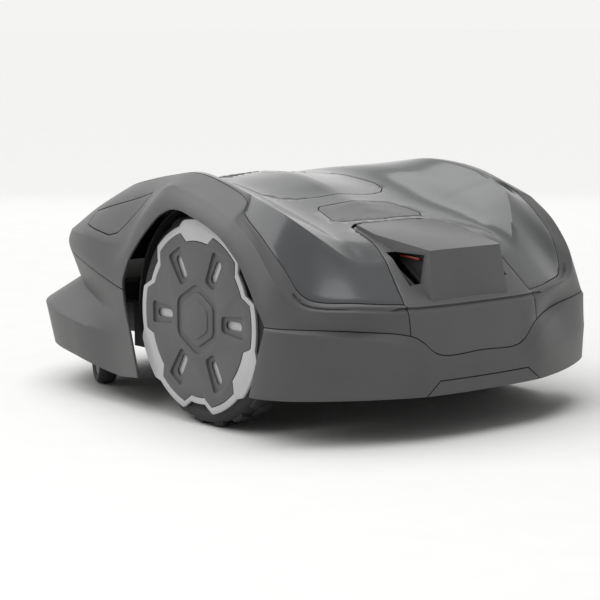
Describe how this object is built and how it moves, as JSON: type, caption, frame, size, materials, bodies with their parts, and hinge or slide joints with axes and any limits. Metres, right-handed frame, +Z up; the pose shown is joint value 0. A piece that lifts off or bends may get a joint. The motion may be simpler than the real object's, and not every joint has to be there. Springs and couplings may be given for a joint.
{
  "type": "robotic lawn mower",
  "caption": "Rear-wheel-drive robotic lawn mower with a floating moulded body, lifting hatch, swivel casters, raised tail module and a height-adjustable disc with pivoting blades",
  "frame": {"origin": "on the ground, below the middle of the whole machine", "axes": "the mower drives towards -Y, its left side is +X, +Z is up"},
  "size_m": [0.5034, 0.671, 0.2863],
  "materials": {
    "body_grey": "satin moulded plastic, fine grain",
    "gloss_grey": "glossy dark grey moulded plastic",
    "tail_grey": "satin moulded plastic",
    "black_plastic": "matt black plastic",
    "tyre_rubber": "matt black rubber",
    "silver": "light silver painted plastic",
    "hub_grey": "satin dark grey plastic",
    "lamp_red": "deep red lamp lens",
    "steel": "plain steel",
    "battery_blue": "battery case",
    "circuit_green": "circuit board",
    "brass": "brass contact strip"
  },
  "bodies": {
    "chassis": {"chassis_tray": "black_plastic", "chassis_lid": "black_plastic", "battery_pack": "battery_blue", "control_board": "circuit_green", "control_panel": "black_plastic", "wheel_motor_left": "black_plastic", "wheel_motor_right": "black_plastic", "charge_contact_left": "brass", "charge_contact_right": "brass"},
    "cover": {"outer_shell": "body_grey", "top_cover": "gloss_grey", "nameplate": "tail_grey", "tail_module": "tail_grey", "tail_vent_left": "black_plastic", "tail_vent_right": "black_plastic", "tail_light_left": "lamp_red", "tail_light_right": "lamp_red", "rear_bumper": "body_grey", "rear_handle": "body_grey", "front_bumper": "body_grey", "front_panel_left": "body_grey", "front_panel_right": "body_grey", "wheel_liner_left": "black_plastic", "wheel_liner_right": "black_plastic", "cover_mount_front_left": "tyre_rubber", "cover_mount_front_right": "tyre_rubber", "cover_mount_rear_left": "tyre_rubber", "cover_mount_rear_right": "tyre_rubber"},
    "hatch_body": {"hatch": "gloss_grey"},
    "button_body": {"stop_button": "gloss_grey"},
    "cutter": {"cutting_motor": "black_plastic"},
    "disc": {"blade_disc": "steel", "blade_screw_1": "steel", "blade_screw_2": "steel", "blade_screw_3": "steel"},
    "skid": {"skid_plate": "black_plastic"},
    "drive_left": {"tyre_left": "tyre_rubber", "rim_left": "hub_grey", "wheel_ring_left": "silver", "wheel_cap_left": "hub_grey", "drive_shaft_left": "steel"},
    "caster_left": {"caster_fork_left": "black_plastic", "caster_pin_left": "steel"},
    "caster_wheel_left": {"caster_tyre_left": "tyre_rubber", "caster_hub_left": "hub_grey"},
    "drive_right": {"tyre_right": "tyre_rubber", "rim_right": "hub_grey", "wheel_ring_right": "silver", "wheel_cap_right": "hub_grey", "drive_shaft_right": "steel"},
    "caster_right": {"caster_fork_right": "black_plastic", "caster_pin_right": "steel"},
    "caster_wheel_right": {"caster_tyre_right": "tyre_rubber", "caster_hub_right": "hub_grey"},
    "blade_body_1": {"blade_1": "steel"},
    "blade_body_2": {"blade_2": "steel"},
    "blade_body_3": {"blade_3": "steel"}
  },
  "joints": [
    {"name": "cover_shift", "type": "slide", "parent": "chassis", "child": "cover", "axis": [0, 1, 0], "range_m": [-0.004, 0.004], "stiffness_N_per_m": 900},
    {"name": "hatch_hinge", "type": "hinge", "parent": "cover", "child": "hatch_body", "pos_m": [0, -0.0892, 0.2695], "axis": [1, 0, 0], "range_deg": [0, 70]},
    {"name": "stop_press", "type": "slide", "parent": "hatch_body", "child": "button_body", "axis": [0, 0, 1], "range_m": [-0.003, 0], "stiffness_N_per_m": 1500, "springref_m": 0.0005},
    {"name": "drive_wheel_left", "type": "hinge", "parent": "chassis", "child": "drive_left", "pos_m": [0.205, 0.1008, 0.124], "axis": [1, 0, 0], "continuous": true},
    {"name": "caster_swivel_left", "type": "hinge", "parent": "chassis", "child": "caster_left", "pos_m": [0.158, -0.214, 0.1], "axis": [0, 0, 1], "continuous": true},
    {"name": "caster_roll_left", "type": "hinge", "parent": "caster_left", "child": "caster_wheel_left", "pos_m": [0.16654, -0.19482, 0.036], "axis": [0.9135, -0.4067, 0], "continuous": true},
    {"name": "drive_wheel_right", "type": "hinge", "parent": "chassis", "child": "drive_right", "pos_m": [-0.205, 0.1008, 0.124], "axis": [1, 0, 0], "continuous": true},
    {"name": "caster_swivel_right", "type": "hinge", "parent": "chassis", "child": "caster_right", "pos_m": [-0.158, -0.214, 0.1], "axis": [0, 0, 1], "continuous": true},
    {"name": "caster_roll_right", "type": "hinge", "parent": "caster_right", "child": "caster_wheel_right", "pos_m": [-0.16654, -0.19482, 0.036], "axis": [0.9135, 0.4067, 0], "continuous": true},
    {"name": "cutting_height", "type": "slide", "parent": "chassis", "child": "cutter", "axis": [0, 0, 1], "range_m": [-0.015, 0.015]},
    {"name": "disc_spin", "type": "hinge", "parent": "cutter", "child": "disc", "pos_m": [0, -0.055, 0.035], "axis": [0, 0, 1], "continuous": true},
    {"name": "skid_spin", "type": "hinge", "parent": "disc", "child": "skid", "pos_m": [0, -0.055, 0.026], "axis": [0, 0, 1], "continuous": true},
    {"name": "blade_pivot_1", "type": "hinge", "parent": "disc", "child": "blade_body_1", "pos_m": [0.08645, -0.02353, 0.032], "axis": [0, 0, 1], "continuous": true},
    {"name": "blade_pivot_2", "type": "hinge", "parent": "disc", "child": "blade_body_2", "pos_m": [-0.07048, 0.00414, 0.032], "axis": [0, 0, 1], "continuous": true},
    {"name": "blade_pivot_3", "type": "hinge", "parent": "disc", "child": "blade_body_3", "pos_m": [-0.01598, -0.1456, 0.032], "axis": [0, 0, 1], "continuous": true}
  ]
}
